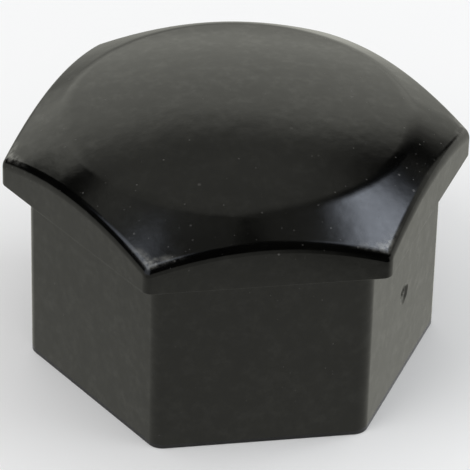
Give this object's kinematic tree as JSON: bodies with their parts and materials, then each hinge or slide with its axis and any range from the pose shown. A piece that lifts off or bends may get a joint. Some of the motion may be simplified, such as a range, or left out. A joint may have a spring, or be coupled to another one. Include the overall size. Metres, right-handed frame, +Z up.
{
  "type": "wheel nut cover cap",
  "caption": "Domed hexagonal cover cap with a chamfered head and a narrower hexagonal skirt that pushes over a wheel bolt head.",
  "frame": {"origin": "middle of the skirt's open mouth, on the plane of its rim", "axes": "+Z up through the crown, two of the flats face +Y and -Y, two of the corners point along +X and -X"},
  "size_m": [0.0252, 0.022, 0.0157],
  "materials": {
    "cap": "moulded black, satin to gloss"
  },
  "bodies": {
    "root": {"cap": "cap"}
  },
  "joints": []
}
